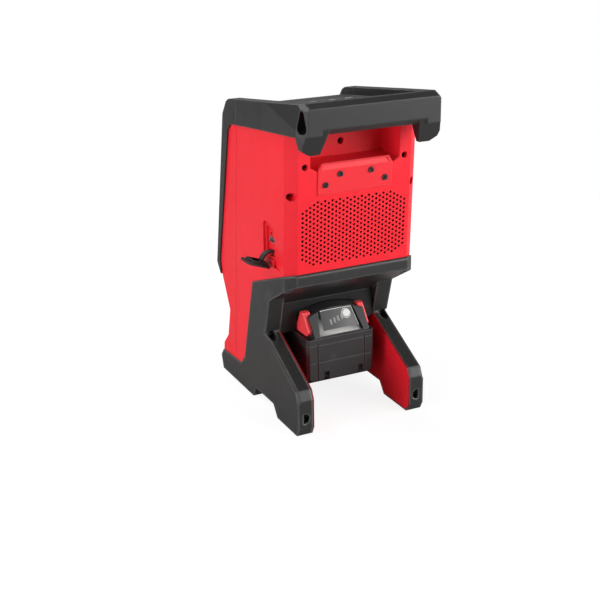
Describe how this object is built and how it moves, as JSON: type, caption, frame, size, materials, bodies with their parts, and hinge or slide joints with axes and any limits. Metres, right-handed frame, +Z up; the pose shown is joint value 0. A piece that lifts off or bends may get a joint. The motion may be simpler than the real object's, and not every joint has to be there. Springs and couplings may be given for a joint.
{
  "type": "jobsite speaker",
  "caption": "Upright jobsite wireless speaker on two rear legs, with a bar grip, a perforated rear field, side ports under a rubber cover and a slide-in battery pack.",
  "frame": {"origin": "middle of the front sole's flat underside, on the surface the speaker stands on", "axes": "+Z up; -Y to the front with the driver grille; +Y to the rear with the grip bar, legs and battery; +X to the side with the ports and their cover"},
  "size_m": [0.1836, 0.2405, 0.3555],
  "materials": {
    "red_plastic": "fine satin grain",
    "black_plastic": "spark-eroded grain",
    "panel_plastic": "matt membrane",
    "dark_plastic": "fine grain",
    "screw_steel": "black zinc",
    "grille_steel": "powder coat",
    "basket_steel": "satin paint",
    "soft_rubber": "matt",
    "circuit_board": "solder mask",
    "socket_steel": "bright tin plate",
    "cell_wrap": "shrink wrap",
    "label_film": "printed film",
    "gauge_clear": "clear lens",
    "gauge_white": "satin"
  },
  "bodies": {
    "cabinet": {"front_frame": "black_plastic", "front_grille": "grille_steel", "front_housing": "red_plastic", "rear_housing": "red_plastic", "rear_grille": "red_plastic", "access_plate": "red_plastic", "plate_screws": "screw_steel", "shell_screws": "screw_steel", "top_cage": "black_plastic", "control_panel": "panel_plastic", "baffle": "dark_plastic", "woofer_basket": "basket_steel", "woofer_cone": "soft_rubber", "tweeter": "dark_plastic", "radiator_frame": "dark_plastic", "radiator_membrane": "soft_rubber", "main_board": "circuit_board", "base_housing": "black_plastic", "liner_left": "red_plastic", "liner_right": "red_plastic", "base_screws": "screw_steel", "battery_receiver": "dark_plastic", "usb_socket": "socket_steel", "audio_jack": "dark_plastic", "cover_strap": "soft_rubber"},
    "button_power": {"button_power": "panel_plastic"},
    "button_pair": {"button_pair": "panel_plastic"},
    "button_minus": {"button_minus": "panel_plastic"},
    "button_play": {"button_play": "panel_plastic"},
    "button_plus": {"button_plus": "panel_plastic"},
    "port_cover": {"port_cover": "soft_rubber"},
    "battery": {"battery_lower": "dark_plastic", "battery_upper": "dark_plastic", "battery_cells": "cell_wrap", "battery_label": "label_film", "gauge_bars": "gauge_clear"},
    "gauge_button": {"gauge_button": "gauge_white"},
    "latch_left": {"latch_left": "red_plastic"},
    "latch_right": {"latch_right": "red_plastic"}
  },
  "joints": [
    {"name": "power_press", "type": "slide", "parent": "cabinet", "child": "button_power", "axis": [0, 0.1253, -0.9921], "range_m": [0, 0.0008], "stiffness_N_per_m": 900, "springref_m": -0.0006},
    {"name": "pair_press", "type": "slide", "parent": "cabinet", "child": "button_pair", "axis": [0, 0.1253, -0.9921], "range_m": [0, 0.0008], "stiffness_N_per_m": 900, "springref_m": -0.0006},
    {"name": "minus_press", "type": "slide", "parent": "cabinet", "child": "button_minus", "axis": [0, 0.1253, -0.9921], "range_m": [0, 0.0008], "stiffness_N_per_m": 900, "springref_m": -0.0006},
    {"name": "play_press", "type": "slide", "parent": "cabinet", "child": "button_play", "axis": [0, 0.1253, -0.9921], "range_m": [0, 0.0008], "stiffness_N_per_m": 900, "springref_m": -0.0006},
    {"name": "plus_press", "type": "slide", "parent": "cabinet", "child": "button_plus", "axis": [0, 0.1253, -0.9921], "range_m": [0, 0.0008], "stiffness_N_per_m": 900, "springref_m": -0.0006},
    {"name": "cover_swing", "type": "hinge", "parent": "cabinet", "child": "port_cover", "pos_m": [0.0622, 0.096, 0.179], "axis": [0, 1, 0], "range_deg": [-70, 0], "deforming": ["cover_strap"]},
    {"name": "battery_slide", "type": "slide", "parent": "cabinet", "child": "battery", "axis": [0, 1, 0], "range_m": [0, 0.125]},
    {"name": "gauge_press", "type": "slide", "parent": "battery", "child": "gauge_button", "axis": [0, -0.8094, -0.5872], "range_m": [0, 0.0008], "stiffness_N_per_m": 500, "springref_m": -0.0006},
    {"name": "latch_left_press", "type": "slide", "parent": "battery", "child": "latch_left", "axis": [-1, 0, 0], "range_m": [0, 0.0025], "stiffness_N_per_m": 800, "springref_m": -0.001},
    {"name": "latch_right_press", "type": "slide", "parent": "battery", "child": "latch_right", "axis": [1, 0, 0], "range_m": [0, 0.0025], "stiffness_N_per_m": 800, "springref_m": -0.001}
  ]
}
